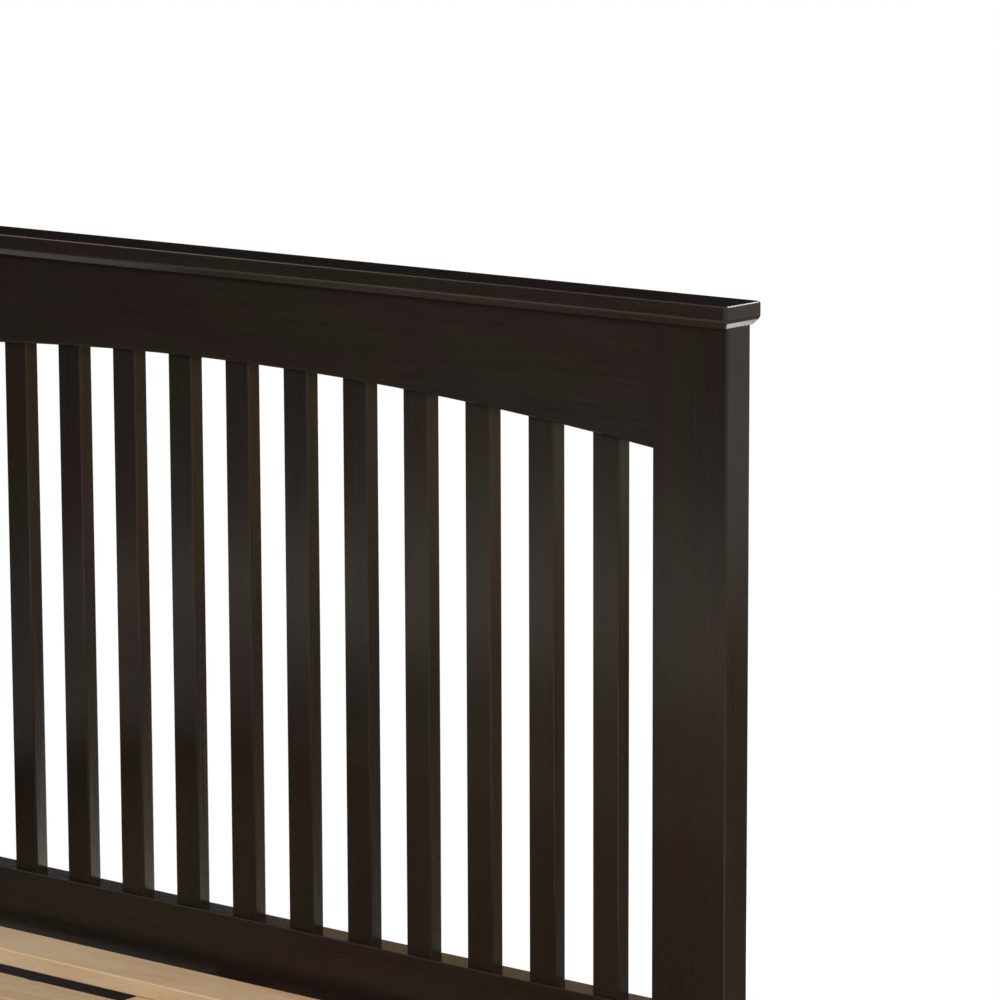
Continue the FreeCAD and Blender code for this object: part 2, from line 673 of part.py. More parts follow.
def trundle_cleat(inner_face, inward):
    """Ledger strip on the trundle's front or back panel."""
    solid = board((inner_face, inner_face + inward * TRUNDLE_CLEAT), (-trundle_end_inner, trundle_end_inner),
                  (trundle_deck_bottom - TRUNDLE_CLEAT, trundle_deck_bottom), DECK_EASE, "y")
    return carve(solid, trundle_screw_holes())


def trundle_slat(y):
    """One cross slat of the trundle's deck."""
    x_range = (trundle_back_inner + TRUNDLE_SLAT_END_GAP, trundle_front_inner - TRUNDLE_SLAT_END_GAP)
    z_range = (trundle_deck_bottom, trundle_deck_bottom + TRUNDLE_SLAT_THICK)
    solid = board(x_range, around(y, TRUNDLE_SLAT_WIDTH), z_range, DECK_EASE, "x")
    return carve(solid, trundle_screw_holes())


def caster_screw_places(x, y):
    """Four screws of one caster plate."""
    along = CASTER_PLATE_LENGTH / 2 - CASTER_SCREW_EDGE
    across = CASTER_PLATE_WIDTH / 2 - CASTER_SCREW_EDGE
    height = caster_height - CASTER_STEEL
    return [(x + a * along, y + b * across, height) for a in (-1, 1) for b in (-1, 1)]


def trundle_cross(y):
    """Cross rail that carries two casters."""
    x_range = (trundle_back_inner + TRUNDLE_CLEAT, trundle_front_inner - TRUNDLE_CLEAT)
    solid = board(x_range, around(y, CROSS_WIDTH), (caster_height, trundle_deck_bottom), DECK_EASE, "x")
    holes = [pan_screw_hole(place, AXES["z"], CASTER_STEEL + SCREW_BITE)
             for x in caster_places_x for place in caster_screw_places(x, y)]
    return carve(solid, holes)


def caster_bracket(x, y):
    """Steel plate with two cheeks that hold the axle."""
    plate_low = caster_height - CASTER_STEEL
    plate = board(around(x, CASTER_PLATE_LENGTH), around(y, CASTER_PLATE_WIDTH), (plate_low, caster_height),
                  WHEEL_EASE, "z")
    inner = WHEEL_WIDTH / 2 + CASTER_SIDE_PLAY
    pieces = [plate]
    holes = []
    for side in (-1, 1):
        face = y + side * inner
        corners = [FreeCAD.Vector(x + across, face, z) for across, z in (
            (-CASTER_CHEEK_TOP, plate_low), (CASTER_CHEEK_TOP, plate_low),
            (CASTER_CHEEK_BOTTOM, WHEEL_RADIUS), (-CASTER_CHEEK_BOTTOM, WHEEL_RADIUS))]
        outward = AXES["y"] * side
        cheek = Part.Face(Part.makePolygon(corners + corners[:1])).extrude(outward * CASTER_STEEL)
        pieces += [cheek, rod(CASTER_CHEEK_BOTTOM, (x, face, WHEEL_RADIUS), outward, CASTER_STEEL)]
        holes.append(rod(AXLE_RADIUS + RUNNING_GAP, (x, face - side * OVERRUN, WHEEL_RADIUS), outward,
                         CASTER_STEEL + 2 * OVERRUN))
    holes += [pan_screw_hole(place, AXES["z"], CASTER_STEEL) for place in caster_screw_places(x, y)]
    return carve(join(pieces), holes)


def caster_axle(x, y):
    """Riveted axle pin of one caster."""
    half = WHEEL_WIDTH / 2 + CASTER_SIDE_PLAY + CASTER_STEEL
    pin = rod(AXLE_RADIUS, (x, y - half, WHEEL_RADIUS), AXES["y"], 2 * half)
    heads = [rod(AXLE_HEAD_RADIUS, (x, y + side * half, WHEEL_RADIUS), AXES["y"] * side, AXLE_HEAD)
             for side in (-1, 1)]
    return join([pin] + heads)


def caster_wheel(x, y):
    """Solid wheel with dished faces and a plain bore."""
    start = (x, y - WHEEL_WIDTH / 2, WHEEL_RADIUS)
    solid = rod(WHEEL_RADIUS, start, AXES["y"], WHEEL_WIDTH)
    rims = [edge for edge in solid.Edges if isinstance(edge.Curve, Part.Circle)]
    solid = solid.makeFillet(WHEEL_EASE, rims)
    tools = [rod(AXLE_RADIUS + RUNNING_GAP, start, AXES["y"], WHEEL_WIDTH)]
    for side in (-1, 1):
        face = (x, y + side * WHEEL_WIDTH / 2, WHEEL_RADIUS)
        inward = AXES["y"] * -side
        dish = rod(WHEEL_RADIUS - WHEEL_RIM, face, inward, WHEEL_DISH)
        tools.append(dish.cut(rod(HUB_RADIUS, face, inward, WHEEL_DISH)))
    return carve(solid, tools)


def corners():
    """The four corners as (side, end) signs."""
    return [(side, end) for end in (-1, 1) for side in (-1, 1)]


def end_nodes(name, end, end_top):
    """Every piece of the headboard or the footboard but its slats."""
    return {
        name + "_post_left": post(-1, end, end_top),
        name + "_post_right": post(1, end, end_top),
        name + "_cap": cap(end, end_top),
        name + "_top_rail": top_rail(end, end_top),
        name + "_bottom_rail": bottom_rail(end, end_top),
    }


def bed_nodes():
    """Every piece of the bed that stands still."""
    nodes = end_nodes("headboard", 1, headboard_top)
    for number, x in enumerate(slat_places, 1):
        nodes["headboard_slat_%02d" % number] = upright_slat(x, 1, headboard_top)
    nodes.update(end_nodes("footboard", -1, footboard_top))
    nodes["footboard_slats"] = [upright_slat(x, -1, footboard_top) for x in slat_places]
    for name, side in (("left", -1), ("right", 1)):
        nodes["side_rail_" + name] = side_rail(side)
        nodes["deck_cleat_" + name] = deck_cleat(side)
    nodes["deck_slats"] = [deck_slat(y) for y in deck_slat_places()]
    nodes["centre_beam"] = centre_beam()
    nodes["beam_saddles"] = [beam_saddle(end) for end in (-1, 1)]
    nodes["rail_bolts"] = [rail_bolt(side, end, z) for side, end in corners() for z in bolt_heights]
    nodes["barrel_nuts"] = [barrel_nut(side, end, z) for side, end in corners() for z in bolt_heights]
    nodes["rail_dowels"] = [dowel(rail_dowel_place(side, end), AXES["y"], RAIL_DOWEL_DEPTH)
                            for side, end in corners()]
    caps = ((1, headboard_top), (-1, footboard_top))
    nodes["cap_dowels"] = [dowel(place, AXES["z"], CAP_DOWEL_DEPTH)
                           for end, end_top in caps for place in cap_dowel_places(end, end_top)]
    nodes["deck_screws"] = [flat_screw(place, -AXES["z"], DECK_SLAT_THICK + SCREW_BITE)
                            for place in deck_screw_places()]
    nodes["frame_screws"] = [pan_screw(place, AXES["x"] * side, CLEAT_WIDTH + SCREW_BITE)
                             for side in (-1, 1) for place in cleat_screw_places(side)]
    nodes["frame_screws"] += [pan_screw(place, AXES["y"] * end, SADDLE_PLATE + SCREW_BITE)
                              for end in (-1, 1) for place in saddle_screw_places(end)]
    nodes["foot_glides"] = [foot_glide(side, end) for side, end in corners()]
    return nodes


def trundle_nodes():
    """Every piece of the trundle, put away under the bed."""
    casters = [(x, y) for y in cross_places_y for x in caster_places_x]
    nodes = {
        "trundle_front": trundle_front(),
        "trundle_back": trundle_back(),
        "trundle_end_head": trundle_end(1),
        "trundle_end_foot": trundle_end(-1),
        "trundle_cleat_front": trundle_cleat(trundle_front_inner, -1),
        "trundle_cleat_back": trundle_cleat(trundle_back_inner, 1),
        "trundle_slats": [trundle_slat(y) for y in trundle_slat_places()],
        "trundle_dowels": [dowel(place, AXES["x"], PANEL_DOWEL_DEPTH) for place in panel_dowel_places()],
        "trundle_slat_screws": [flat_screw(place, -AXES["z"], TRUNDLE_SLAT_THICK + SCREW_BITE)
                                for place in trundle_screw_places()],
        "caster_screws": [pan_screw(place, AXES["z"], CASTER_STEEL + SCREW_BITE)
                          for x, y in casters for place in caster_screw_places(x, y)],
        "caster_brackets": [caster_bracket(x, y) for x, y in casters],
        "caster_axles": [caster_axle(x, y) for x, y in casters],
    }
    for name, y in zip(("head", "mid", "foot"), cross_places_y):
        nodes["trundle_cross_" + name] = trundle_cross(y)
    for number, (x, y) in enumerate(casters, 1):
        nodes["trundle_wheel_%d" % number] = caster_wheel(x, y)
    return nodes


def write(nodes):
    """One STEP file per node; a list of solids becomes one group."""
    os.makedirs("parts", exist_ok=True)
    for name, shape in nodes.items():
        if isinstance(shape, list):
            shape = Part.makeCompound(shape)
        shape.exportStep("parts/%s.step" % name)


write({**bed_nodes(), **trundle_nodes()})
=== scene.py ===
"""Finish, light and camera for the platform bed with trundle. Metres, in the CAD frame."""
import json
import math

import bpy
from mathutils import Matrix, Vector


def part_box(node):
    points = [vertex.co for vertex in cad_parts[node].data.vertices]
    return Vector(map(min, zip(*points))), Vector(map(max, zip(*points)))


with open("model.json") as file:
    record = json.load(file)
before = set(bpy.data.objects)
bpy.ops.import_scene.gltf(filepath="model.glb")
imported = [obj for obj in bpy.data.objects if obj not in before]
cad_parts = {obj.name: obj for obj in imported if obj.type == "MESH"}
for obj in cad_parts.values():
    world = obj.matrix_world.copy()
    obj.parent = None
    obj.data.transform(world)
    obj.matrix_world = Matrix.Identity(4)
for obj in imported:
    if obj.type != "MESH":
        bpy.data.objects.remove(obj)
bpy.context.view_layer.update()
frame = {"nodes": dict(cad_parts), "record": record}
nodes = frame["nodes"]

# Camera: where the photograph was taken from, seen from the headboard's right post, and its lens
CAMERA_FROM_POST = Vector((2.7622, -3.7524, 0.6377))
CAMERA_AZIMUTH = math.radians(39.18)
CAMERA_ELEVATION = math.radians(9.98)
CAMERA_ROLL = math.radians(-0.21)
CAMERA_REACH = 100.0
FOCAL_LENGTH_PX = 4666.6
FRAME_PX = 1000
SENSOR_MM = 36.0
CAP_FACE = 0.0165  # height of the cap's plain face, above its bevel

# Floor: its own shade in an oval round the bed, plain white outside it
WHITE = (1, 1, 1, 1)
FLOOR_SIZE = 60.0
FLOOR_COLOUR = (0.86, 0.86, 0.855, 1)
FLOOR_ROUGHNESS = 0.9
FLOOR_SPECULAR = 0.1
SHADOW_CENTRE = (0.45, -0.2, 0.0)
SHADOW_AXES = (2.4, 2.0, 1.0)
SHADOW_FADE = (0.70, 1.0)

# World: its strength at the horizon and overhead, and the height of direction where it is least
WORLD_FILL = (0.75, 0.25)
WORLD_FILL_TOP = 0.9

# Lamps that light the object: name, place, aim, width, height, watts
BED_CENTRE = (0.0, 0.4, 0.6)
LAMPS = (
    ("key", (3.0, -4.2, 4.4), BED_CENTRE, 3.2, 2.6, 170),
    ("side", (4.4, -1.4, 2.6), BED_CENTRE, 2.6, 2.2, 210),
    ("back", (-3.6, 4.4, 1.8), BED_CENTRE, 2.4, 2.0, 120),
)

# Lamps that only reflections see, given alike; the last two lie where the bedding would be
GLINTS = (
    ("rim", (1.63, 5.2, 4.5), (0.6, 1.0, 1.2), 1.6, 1.4, 160),
    ("hair", (-3.2, 0.3, 4.2), (-0.2, 1.0, 1.2), 1.6, 1.6, 30),
    ("floor_glint", (0.3, 2.5, 0.03), (0.3, 2.5, 3.0), 1.1, 1.1, 31),
    ("bed_glint", (-0.2, -0.07, 0.62), (-0.2, -0.07, 3.0), 1.5, 0.86, 4.6),
    ("pillow_glint", (-0.1, 0.63, 0.62), (-0.1, 0.63, 3.0), 1.5, 0.54, 0.4),
)

# Cards that only reflections see: name, lower corner, lower edge, height, colour
BLACK_CARD = (0.01, 0.01, 0.01, 1)
GREY_CARD = (0.06, 0.06, 0.06, 1)
WARM_CARD = (0.45, 0.29, 0.14, 1)
DIM_CARD = (0.24, 0.17, 0.09, 1)
CARDS = (
    ("flag_behind", (-9.0, 3.2, 0.9), (10.0, 0.0, 0.0), 5.5, BLACK_CARD),
    ("flag_left", (-2.4, -5.5, 0.0), (0.0, 6.0, 0.0), 4.5, GREY_CARD),
    ("flag_front", (-2.4, -5.5, 0.0), (3.0, -1.8, 0.0), 4.5, GREY_CARD),
    ("flag_back", (-0.6, 1.8, 0.6), (1.72, 0.0, 0.0), 0.55, WARM_CARD),
    ("flag_right", (0.9, 2.4, 0.0), (1.2, -1.0, 0.0), 0.62, DIM_CARD),
    ("flag_low", (0.9, 3.1, 0.0), (1.5, 0.0, 0.0), 0.45, DIM_CARD),
)

# Repeated boards that share one node: axis they repeat along, count, board width, axis of the grain
ROWS = {
    "deck_slats": (1, 14, 0.070, 0),
    "trundle_slats": (1, 13, 0.070, 0),
    "footboard_slats": (0, 14, 0.035, 2),
}

# Layers of noise in the wood: features per metre along and across the grain, detail, roughness, distortion
FIGURE = (0.9, 15.0, 2.5, 0.45, 0.8)
FIBRES = (7.0, 330.0, 3.0, 0.6, 0.0)
PATCHES = (1.6, 6.0, 2.0, 0.5, 0.0)
BLOTCHES = (5.0, 19.0, 3.0, 0.6, 0.0)
PORES = (85.0, 1150.0, 1.0, 0.5, 0.0)

# Parts of each layer's range that show, and the shares, gloss and relief that they turn into
FIGURE_RANGE = (0.30, 0.70)
FIGURE_SHARE = 0.62
FIBRE_RANGE = (0.28, 0.72)
GLOSS_RANGE = (0.25, 0.75)
CAST_CHANGE = (0.44, 0.62)
CAST_RANGE = (0.36, 0.68)
CAST_SHARE = (0.15, 0.70)
RUB_RANGE = (0.35, 0.65)
RUB_SHARE = (0.25, 0.80)
PORE_RANGE = (0.60, 0.72)
PORE_DULLNESS = 0.08
FIBRE_HEIGHT = 0.5
PORE_SINK = 0.6
GRAIN_DEPTH = 0.0006
RING_POWER = 1.6
RING_DROP = (0.88, 1.0)

# Knots: per metre along and across the grain, and the distances in their spacing where they fade out
# and where the rings stop bending round them; then the strengths of their colour and of that bend
KNOTS = (6.0, 8.5)
KNOT_EDGE = (0.060, 0.085)
KNOT_SWIRL_REACH = 0.24
KNOT_DEPTH = 0.85
KNOT_SWIRL = 0.35

# Differences between boards: how far apart their wood is taken from, and their shade
BOARD_JUMP = (9.0, 65.7, 33.3)
BOARD_SHADE = (0.88, 1.10)

# Worn and scuffed edges, on wood partly a painted highlight: cosine of the turn between a face and its
# rounded edge, where the edge colour starts and where it is full
EDGE_TURN = (0.995, 0.86)

# Rays sent out at each point to find edges and corners
SEARCH_RAYS = 6

# Axis of upright boards
UPRIGHT = 2

# Stained and lacquered wood, colours linear
LACQUER = {
    "early": (0.0072, 0.0048, 0.0037, 1),
    "late": (0.0156, 0.0108, 0.0082, 1),
    "pores": (0.0040, 0.0028, 0.0023, 1),
    # Lighter colour of rounded edges: partly worn, partly a painted highlight
    "edge_wear_and_highlight": (0.0379, 0.0259, 0.0190, 1),
    "tint": (1.0, 0.93, 0.80, 1),
    "roughness": (0.17, 0.26),
    "specular": 0.22,
    "bump": 0.035,
    "pore_depth": 0.60,
    "edge_wear_and_highlight_radius": 0.0035,
    "rings": 7.0,
    "ring_share": 0.22,
}
RED_CAST = (0.0178, 0.0088, 0.0080, 1)
OLIVE_CAST = (0.0152, 0.0126, 0.0076, 1)

# Planed pale wood, colours linear
PLANED = {
    "early": (0.58, 0.41, 0.24, 1),
    "late": (0.42, 0.26, 0.13, 1),
    "pores": (0.30, 0.18, 0.09, 1),
    # Lighter colour of rounded edges: partly worn, partly a painted highlight
    "edge_wear_and_highlight": (0.66, 0.51, 0.33, 1),
    "knots": (0.150, 0.075, 0.032, 1),
    "tint": WHITE,
    "roughness": (0.55, 0.72),
    "specular": 0.30,
    "bump": 0.30,
    "pore_depth": 0.45,
    "edge_wear_and_highlight_radius": 0.0030,
    "rings": 9.0,
    "ring_share": 0.50,
}
PALE_CASTS = ((0.63, 0.47, 0.30, 1), (0.55, 0.35, 0.19, 1))

# Steel and plastic: main colour, other colour, mottles per metre, roughness, metallic, bump
ZINC = ((0.40, 0.40, 0.39, 1), (0.20, 0.20, 0.195, 1), 130.0, (0.24, 0.42), 1.0, 0.18)
WHEEL = ((0.018, 0.018, 0.019, 1), (0.075, 0.072, 0.068, 1), 60.0, (0.42, 0.60), 0.0, 0.25)
GLIDE = ((0.030, 0.022, 0.017, 1), (0.075, 0.062, 0.052, 1), 80.0, (0.45, 0.65), 0.0, 0.20)
MOTTLE_DETAIL = 5.0
MOTTLE_ROUGHNESS = 0.6
MOTTLE_RANGE = (0.45, 0.75)
MOTTLE_SHARE = (0.0, 0.6)
FINE_RATIO = 14.0
FINE_RANGE = (0.3, 0.7)
MOULD_DEPTH = 0.0003
SCUFF_RADIUS = 0.0015
SCUFF_RANGE = (0.4, 0.6)
SCUFF_SHARE = (0.2, 0.9)
# Painted shade: dark colour mixed into corners and recesses, how far round a point is searched, and which
# openness turns into which share of it
PAINTED_SHADE = (0.016, 0.014, 0.012, 1)
PAINTED_SHADE_REACH = 0.005
PAINTED_SHADE_RANGE = (0.35, 0.85)
PAINTED_SHADE_SHARE = (0.75, 0.0)

# Colour sockets of the Mix node, whose names are shared with its sockets for numbers
MIX_FIRST = 6
MIX_SECOND = 7
MIX_RESULT = 2


def put(tree, kind, inputs=None, **attributes):
    """New node with its attributes and inputs set; an input may be a value or another node's output."""
    node = tree.nodes.new(kind)
    for key, value in attributes.items():
        setattr(node, key, value)
    for key, value in (inputs or {}).items():
        if isinstance(value, bpy.types.NodeSocket):
            tree.links.new(value, node.inputs[key])
        else:
            node.inputs[key].default_value = value
    return node


def new_material(name):
    """Node material, its tree and its Principled shader."""
    material = bpy.data.materials.new(name)
    material.use_nodes = True
    return material, material.node_tree, material.node_tree.nodes["Principled BSDF"]


def vector_math(tree, operation, first, second):
    """Sum, product or the like of two vectors."""
    return put(tree, "ShaderNodeVectorMath", {0: first, 1: second}, operation=operation).outputs[0]


def math_node(tree, operation, *values):
    """Sum, product or the like of numbers."""
    return put(tree, "ShaderNodeMath", dict(enumerate(values)), operation=operation).outputs[0]


def remap(tree, value, span, target=(0.0, 1.0)):
    """Value moved from one range to another and held inside it."""
    inputs = {
        "Value": value,
        "From Min": span[0],
        "From Max": span[1],
        "To Min": target[0],
        "To Max": target[1],
    }
    return put(tree, "ShaderNodeMapRange", inputs).outputs["Result"]


def mix_colour(tree, share, first, second, blend="MIX"):
    """The first colour with a share of the second."""
    node = put(tree, "ShaderNodeMix", {"Factor": share}, data_type="RGBA", blend_type=blend)
    for number, value in ((MIX_FIRST, first), (MIX_SECOND, second)):
        if isinstance(value, bpy.types.NodeSocket):
            tree.links.new(value, node.inputs[number])
        else:
            node.inputs[number].default_value = value
    return node.outputs[MIX_RESULT]


def noise(tree, vector, scale=1.0, detail=2.0, roughness=0.5, distortion=0.0):
    """Smooth random value from 0 to 1."""
    inputs = {
        "Vector": vector,
        "Scale": scale,
        "Detail": detail,
        "Roughness": roughness,
        "Distortion": distortion,
    }
    return put(tree, "ShaderNodeTexNoise", inputs).outputs[0]


def edge_share(tree, radius):
    """1 along the edges of a piece and 0 on its faces."""
    rounded = put(tree, "ShaderNodeBevel", {"Radius": radius}, samples=SEARCH_RAYS).outputs["Normal"]
    plain = put(tree, "ShaderNodeNewGeometry").outputs["Normal"]
    turn = put(tree, "ShaderNodeVectorMath", {0: rounded, 1: plain}, operation="DOT_PRODUCT")
    return remap(tree, turn.outputs["Value"], EDGE_TURN)


def board_number(tree, place, name):
    """Random value that is the same all over one board of a row."""
    axis, count, width, _ = ROWS[name]
    low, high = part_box(name)
    pitch = (high[axis] - low[axis] - width) / (count - 1)
    along = put(tree, "ShaderNodeSeparateXYZ", {0: place}).outputs[axis]
    from_start = math_node(tree, "SUBTRACT", along, low[axis] + width / 2 - pitch / 2)
    cell = math_node(tree, "FLOOR", math_node(tree, "DIVIDE", from_start, pitch))
    return put(tree, "ShaderNodeTexWhiteNoise", {"W": cell}, noise_dimensions="1D").outputs["Value"]


def board_coordinates(tree, row):
    """Coordinates in a different patch of wood for every board, and the board's random value."""
    place = put(tree, "ShaderNodeTexCoord").outputs["Object"]
    if row:
        lot = board_number(tree, place, row)
    else:
        lot = put(tree, "ShaderNodeObjectInfo").outputs["Random"]
    lots = put(tree, "ShaderNodeCombineXYZ", {0: lot, 1: lot, 2: lot}).outputs[0]
    jump = vector_math(tree, "MULTIPLY", lots, BOARD_JUMP)
    return vector_math(tree, "ADD", place, jump), lot


def stretched(tree, vector, axis, along, across):
    """Coordinates scaled per metre, slowly along the grain and quickly across it."""
    scale = [across] * 3
    scale[axis] = along
    return vector_math(tree, "MULTIPLY", vector, tuple(scale))


def grain_noise(tree, place, axis, layer):
    """One layer of noise, drawn out along the grain."""
    along, across, detail, roughness, distortion = layer
    vector = stretched(tree, place, axis, along, across)
    return noise(tree, vector, 1.0, detail, roughness, distortion)


def knot_distance(tree, place, axis):
    """Distance to the nearest knot, in the knots' own spacing."""
    inputs = {"Vector": stretched(tree, place, axis, *KNOTS), "Scale": 1.0}
    return put(tree, "ShaderNodeTexVoronoi", inputs).outputs["Distance"]


def growth_rings(tree, figure, count):
    """Early wood that darkens slowly into late wood and ends in a sharp line."""
    turn = math_node(tree, "FRACT", math_node(tree, "MULTIPLY", figure, count))
    rise = math_node(tree, "POWER", turn, RING_POWER)
    return math_node(tree, "MULTIPLY", rise, remap(tree, turn, RING_DROP, (1.0, 0.0)))


def late_share(tree, figure, fibre, finish):
    """Share of late wood: the broad figure, the growth rings and the fibres added up."""
    ring_share = finish["ring_share"]
    broad = remap(tree, figure, FIGURE_RANGE, (0.0, FIGURE_SHARE - ring_share))
    rings = math_node(tree, "MULTIPLY", growth_rings(tree, figure, finish["rings"]), ring_share)
    fibres = remap(tree, fibre, FIBRE_RANGE, (0.0, 1.0 - FIGURE_SHARE))
    return math_node(tree, "ADD", math_node(tree, "ADD", broad, rings), fibres)


def wood_surface(tree, shader, fibre, pore, finish):
    """Gloss and relief: fibres stand a little proud, pores are dull and sunk."""
    open_pores = remap(tree, pore, PORE_RANGE)
    dull = math_node(tree, "MULTIPLY", open_pores, PORE_DULLNESS)
    roughness = math_node(tree, "ADD", remap(tree, fibre, GLOSS_RANGE, finish["roughness"]), dull)
    tree.links.new(roughness, shader.inputs["Roughness"])
    proud = math_node(tree, "MULTIPLY", fibre, FIBRE_HEIGHT)
    sunk = math_node(tree, "MULTIPLY", open_pores, PORE_SINK)
    height = math_node(tree, "SUBTRACT", proud, sunk)
    inputs = {"Strength": finish["bump"], "Distance": GRAIN_DEPTH, "Height": height}
    tree.links.new(put(tree, "ShaderNodeBump", inputs).outputs["Normal"], shader.inputs["Normal"])
    shader.inputs["Specular IOR Level"].default_value = finish["specular"]
    shader.inputs["Specular Tint"].default_value = finish["tint"]


def wood(name, axis, casts, finish, row):
    """Board cut along one axis: growth figure, fibres, open pores, knots, and rounded edges lightened
    partly as worn and partly as a painted highlight.
    """
    material, tree, shader = new_material(name)
    place, lot = board_coordinates(tree, row)
    layers = (FIGURE, FIBRES, PATCHES, BLOTCHES, PORES)
    figure, fibre, patch, blotch, pore = [grain_noise(tree, place, axis, layer) for layer in layers]
    knotted = "knots" in finish
    if knotted:
        near = knot_distance(tree, place, axis)
        swirl = remap(tree, near, (0.0, KNOT_SWIRL_REACH), (KNOT_SWIRL, 0.0))
        figure = math_node(tree, "ADD", figure, swirl)
    colour = mix_colour(tree, late_share(tree, figure, fibre, finish), finish["early"], finish["late"])
    cast = mix_colour(tree, remap(tree, blotch, CAST_CHANGE), *casts)
    colour = mix_colour(tree, remap(tree, patch, CAST_RANGE, CAST_SHARE), colour, cast)
    pore_share = remap(tree, pore, PORE_RANGE, (0.0, finish["pore_depth"]))
    colour = mix_colour(tree, pore_share, colour, finish["pores"])
    if knotted:
        knot_share = remap(tree, near, KNOT_EDGE, (KNOT_DEPTH, 0.0))
        colour = mix_colour(tree, knot_share, colour, finish["knots"])
    # Rounded edges turn lighter in patches: partly worn, partly a painted edge highlight
    rubbed = remap(tree, patch, RUB_RANGE, RUB_SHARE)
    worn = math_node(tree, "MULTIPLY", edge_share(tree, finish["edge_wear_and_highlight_radius"]), rubbed)
    colour = mix_colour(tree, worn, colour, finish["edge_wear_and_highlight"])
    shade = remap(tree, lot, (0.0, 1.0), BOARD_SHADE)
    tone = put(tree, "ShaderNodeCombineColor", {0: shade, 1: shade, 2: shade}).outputs[0]
    tree.links.new(mix_colour(tree, 1.0, colour, tone, "MULTIPLY"), shader.inputs["Base Color"])
    wood_surface(tree, shader, fibre, pore, finish)
    return material


def stained(axis, row):
    """Dark stain with red and olive patches, which change places on upright boards."""
    casts = (OLIVE_CAST, RED_CAST) if axis == UPRIGHT else (RED_CAST, OLIVE_CAST)
    return wood("stained_wood_" + "xyz"[axis] + (row or ""), axis, casts, LACQUER, row)


def planed(axis, row):
    """Pale wood as it left the planer."""
    return wood("planed_wood_" + "xyz"[axis] + (row or ""), axis, PALE_CASTS, PLANED, row)


def speckled(name, main, other, density, roughness, metallic, bump):
    """Plated steel or moulded plastic: a fine mottle, scuffed edges, and painted shade in the corners and
    recesses.
    """
    material, tree, shader = new_material(name)
    place = put(tree, "ShaderNodeTexCoord").outputs["Object"]
    mottle = noise(tree, place, density, MOTTLE_DETAIL, MOTTLE_ROUGHNESS)
    fine = noise(tree, place, density * FINE_RATIO)
    rubbed = remap(tree, mottle, SCUFF_RANGE, SCUFF_SHARE)
    worn = math_node(tree, "MULTIPLY", edge_share(tree, SCUFF_RADIUS), rubbed)
    share = math_node(tree, "MAXIMUM", worn, remap(tree, mottle, MOTTLE_RANGE, MOTTLE_SHARE))
    colour = mix_colour(tree, share, main, other)
    # Painted shade: darker in corners and recesses, by how little of the surroundings a point sees
    openness = put(tree, "ShaderNodeAmbientOcclusion", {"Distance": PAINTED_SHADE_REACH}, samples=SEARCH_RAYS)
    painted_shade_share = remap(tree, openness.outputs["AO"], PAINTED_SHADE_RANGE, PAINTED_SHADE_SHARE)
    tree.links.new(mix_colour(tree, painted_shade_share, colour, PAINTED_SHADE), shader.inputs["Base Color"])
    tree.links.new(remap(tree, fine, FINE_RANGE, roughness), shader.inputs["Roughness"])
    inputs = {"Strength": bump, "Distance": MOULD_DEPTH, "Height": fine}
    tree.links.new(put(tree, "ShaderNodeBump", inputs).outputs["Normal"], shader.inputs["Normal"])
    shader.inputs["Metallic"].default_value = metallic
    return material


def new_finish(slot, axis, row):
    """Material for one of the record's slots, with the grain along an axis where it is wood."""
    if slot == "dark_wood":
        return stained(axis, row)
    if slot in ("slat_wood", "dowel_wood"):
        return planed(axis, row)
    if slot == "zinc_steel":
        return speckled("zinc_plate", *ZINC)
    if slot == "wheel_plastic":
        return speckled("wheel_plastic", *WHEEL)
    return speckled("glide_plastic", *GLIDE)


def grain_axis(name):
    """Axis of a node's grain: that of its longest side, or the row's own."""
    if name in ROWS:
        *_, grain = ROWS[name]
        return grain
    low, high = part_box(name)
    size = high - low
    return max(range(3), key=lambda axis: size[axis])


def dress():
    """Every CAD node gets its finish, shared by the nodes whose grain runs the same way."""
    slots = {part["node"]: part["material_slot"] for part in frame["record"]["subparts"]}
    made = {}
    for name, piece in nodes.items():
        row = name if name in ROWS else None
        key = (slots[name], grain_axis(name), row)
        if key not in made:
            made[key] = new_finish(*key)
        piece.data.materials.clear()
        piece.data.materials.append(made[key])


def seen_directly(tree):
    """1 where the eye, a reflection or glass sees a surface, and 0 where it only lights others."""
    rays = put(tree, "ShaderNodeLightPath").outputs
    mirrored = math_node(tree, "MAXIMUM", rays["Is Glossy Ray"], rays["Is Transmission Ray"])
    return math_node(tree, "MAXIMUM", rays["Is Camera Ray"], mirrored)


def build_floor():
    """Pale floor that keeps the bed's shadow and runs out to plain white."""
    bpy.ops.mesh.primitive_plane_add(size=FLOOR_SIZE, location=(0, 0, 0))
    floor = bpy.context.object
    floor.name = "floor"
    material, tree, shader = new_material("pale_floor")
    shader.inputs["Base Color"].default_value = FLOOR_COLOUR
    shader.inputs["Roughness"].default_value = FLOOR_ROUGHNESS
    shader.inputs["Specular IOR Level"].default_value = FLOOR_SPECULAR
    place = put(tree, "ShaderNodeTexCoord").outputs["Object"]
    place = vector_math(tree, "SUBTRACT", place, SHADOW_CENTRE)
    place = vector_math(tree, "DIVIDE", place, SHADOW_AXES)
    away = put(tree, "ShaderNodeVectorMath", {0: place}, operation="LENGTH").outputs["Value"]
    white = put(tree, "ShaderNodeEmission", {"Color": WHITE, "Strength": 1.0}).outputs[0]
    share = math_node(tree, "MULTIPLY", seen_directly(tree), remap(tree, away, SHADOW_FADE))
    mixed = put(tree, "ShaderNodeMixShader", {0: share, 1: shader.outputs[0], 2: white}).outputs[0]
    tree.links.new(mixed, tree.nodes["Material Output"].inputs["Surface"])
    floor.data.materials.append(material)


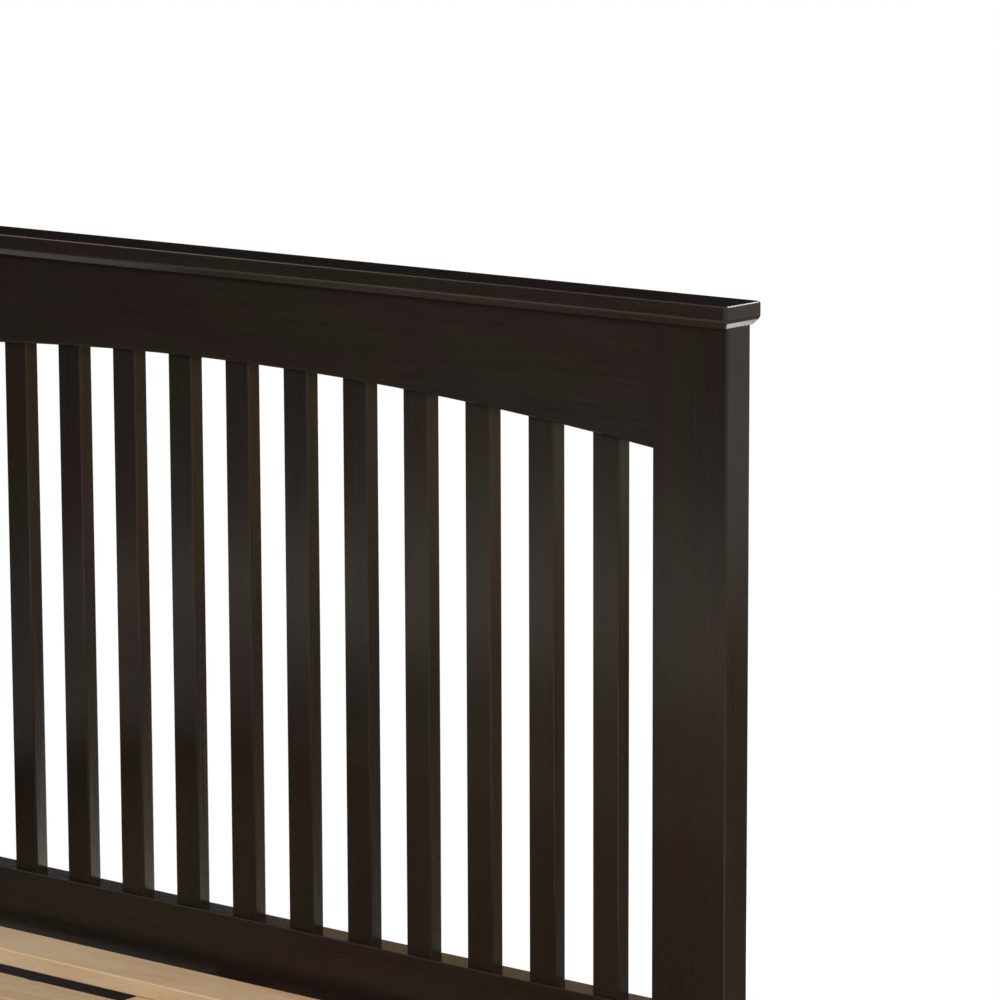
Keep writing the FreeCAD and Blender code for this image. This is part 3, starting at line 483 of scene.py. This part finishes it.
def build_world():
    """White behind everything, and a soft fill on the object that is weaker from above."""
    world = bpy.data.worlds.new("studio")
    bpy.context.scene.world = world
    world.use_nodes = True
    tree = world.node_tree
    tree.nodes.clear()
    direction = put(tree, "ShaderNodeTexCoord").outputs["Generated"]
    height = put(tree, "ShaderNodeSeparateXYZ", {0: direction}).outputs["Z"]
    level = remap(tree, height, (0.0, WORLD_FILL_TOP), WORLD_FILL)
    fill = put(tree, "ShaderNodeBackground", {"Color": WHITE, "Strength": level}).outputs[0]
    white = put(tree, "ShaderNodeBackground", {"Color": WHITE, "Strength": 1.0}).outputs[0]
    mixed = put(tree, "ShaderNodeMixShader", {0: seen_directly(tree), 1: fill, 2: white}).outputs[0]
    put(tree, "ShaderNodeOutputWorld", {"Surface": mixed})


def softbox(name, place, aim, width, height, watts):
    """Rectangular studio light aimed at a point."""
    light = bpy.data.lights.new(name, "AREA")
    light.shape = "RECTANGLE"
    light.size = width
    light.size_y = height
    light.energy = watts
    lamp = bpy.data.objects.new(name, light)
    lamp.location = place
    lamp.rotation_euler = (Vector(aim) - Vector(place)).to_track_quat("-Z", "Y").to_euler()
    bpy.context.collection.objects.link(lamp)
    return lamp


def reflected_only(thing):
    """Leave a lamp or a card to reflections alone."""
    for ray in ("camera", "diffuse", "transmission", "volume_scatter"):
        setattr(thing, "visible_" + ray, False)


def build_lights():
    """Soft lamps that light the object without a glare, and the lamps of its highlights."""
    for lamp in LAMPS:
        softbox(*lamp).visible_glossy = False
    for glint in GLINTS:
        reflected_only(softbox(*glint))


def build_card(name, corner, edge, height, colour):
    """Upright card beside the set that only reflections see, so that glossy faces don't wash out."""
    start = Vector(corner)
    end = start + Vector(edge)
    up = Vector((0, 0, height))
    mesh = bpy.data.meshes.new(name)
    mesh.from_pydata([start, end, end + up, start + up], [], [(0, 1, 2, 3)])
    card = bpy.data.objects.new(name, mesh)
    bpy.context.collection.objects.link(card)
    material, tree, shader = new_material(name)
    shader.inputs["Base Color"].default_value = colour
    shader.inputs["Roughness"].default_value = 1.0
    shader.inputs["Specular IOR Level"].default_value = 0.0
    card.data.materials.append(material)
    card.visible_shadow = False
    reflected_only(card)


def camera_axes():
    """The camera's right, up and backward directions, turned and rolled as it was."""
    level = Vector((math.cos(CAMERA_AZIMUTH), math.sin(CAMERA_AZIMUTH), 0))
    outward = Vector((math.sin(CAMERA_AZIMUTH), -math.cos(CAMERA_AZIMUTH), 0))
    back = outward * math.cos(CAMERA_ELEVATION) + Vector((0, 0, math.sin(CAMERA_ELEVATION)))
    upright = back.cross(level)
    right = level * math.cos(CAMERA_ROLL) + upright * math.sin(CAMERA_ROLL)
    up = upright * math.cos(CAMERA_ROLL) - level * math.sin(CAMERA_ROLL)
    return right, up, back


def build_camera():
    """Camera at the photograph's place, seen from the post's front right edge below the cap's face."""
    post_low, post_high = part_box("headboard_post_right")
    cap_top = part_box("headboard_cap")[1].z
    corner = Vector((post_high.x, post_low.y, cap_top - CAP_FACE))
    camera = bpy.data.objects.new("camera", bpy.data.cameras.new("camera"))
    camera.data.sensor_width = SENSOR_MM
    camera.data.lens = FOCAL_LENGTH_PX / FRAME_PX * SENSOR_MM
    camera.data.clip_end = CAMERA_REACH
    turn = Matrix(camera_axes()).transposed().to_4x4()
    camera.matrix_world = Matrix.Translation(corner + CAMERA_FROM_POST) @ turn
    bpy.context.collection.objects.link(camera)
    bpy.context.scene.camera = camera


dress()
build_floor()
build_world()
build_lights()
for flag in CARDS:
    build_card(*flag)
build_camera()
bpy.context.scene.view_settings.view_transform = "Standard"
